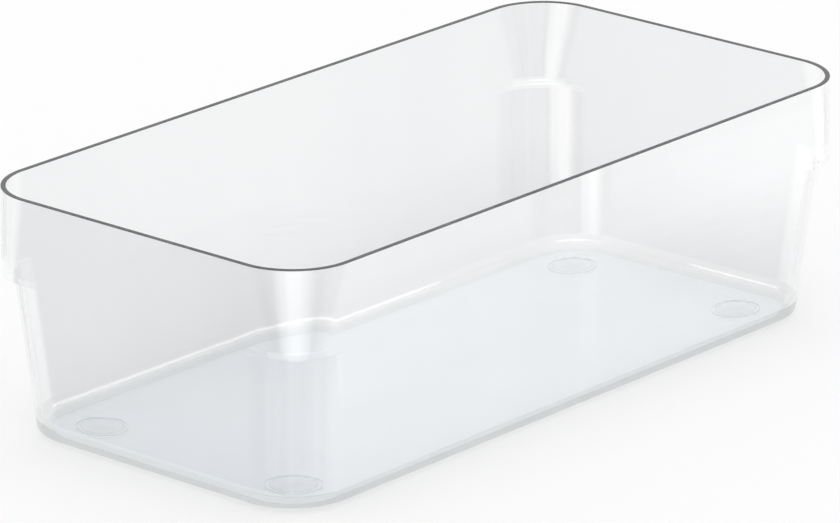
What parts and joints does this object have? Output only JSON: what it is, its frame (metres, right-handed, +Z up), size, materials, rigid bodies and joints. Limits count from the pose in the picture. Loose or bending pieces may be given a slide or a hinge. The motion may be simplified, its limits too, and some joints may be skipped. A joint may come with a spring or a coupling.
{
  "type": "storage box",
  "caption": "Open rectangular clear plastic storage box with drafted walls, rounded corners, a flat rim, corner ledges for stacking and non-slip feet.",
  "frame": {"origin": "centre of the footprint, at the underside of the feet", "axes": "+X along the long side, +Y along the short side away from the front, +Z up"},
  "size_m": [0.3, 0.15, 0.09],
  "materials": {
    "clear_plastic": "clear, polished",
    "clear_foot": "clear, soft satin",
    "adhesive": "clear, slightly hazy"
  },
  "bodies": {
    "root": {"tray": "clear_plastic", "foot_front_left": "clear_foot", "foot_front_right": "clear_foot", "foot_rear_left": "clear_foot", "foot_rear_right": "clear_foot", "foot_adhesive_front_left": "adhesive", "foot_adhesive_front_right": "adhesive", "foot_adhesive_rear_left": "adhesive", "foot_adhesive_rear_right": "adhesive"}
  },
  "joints": []
}
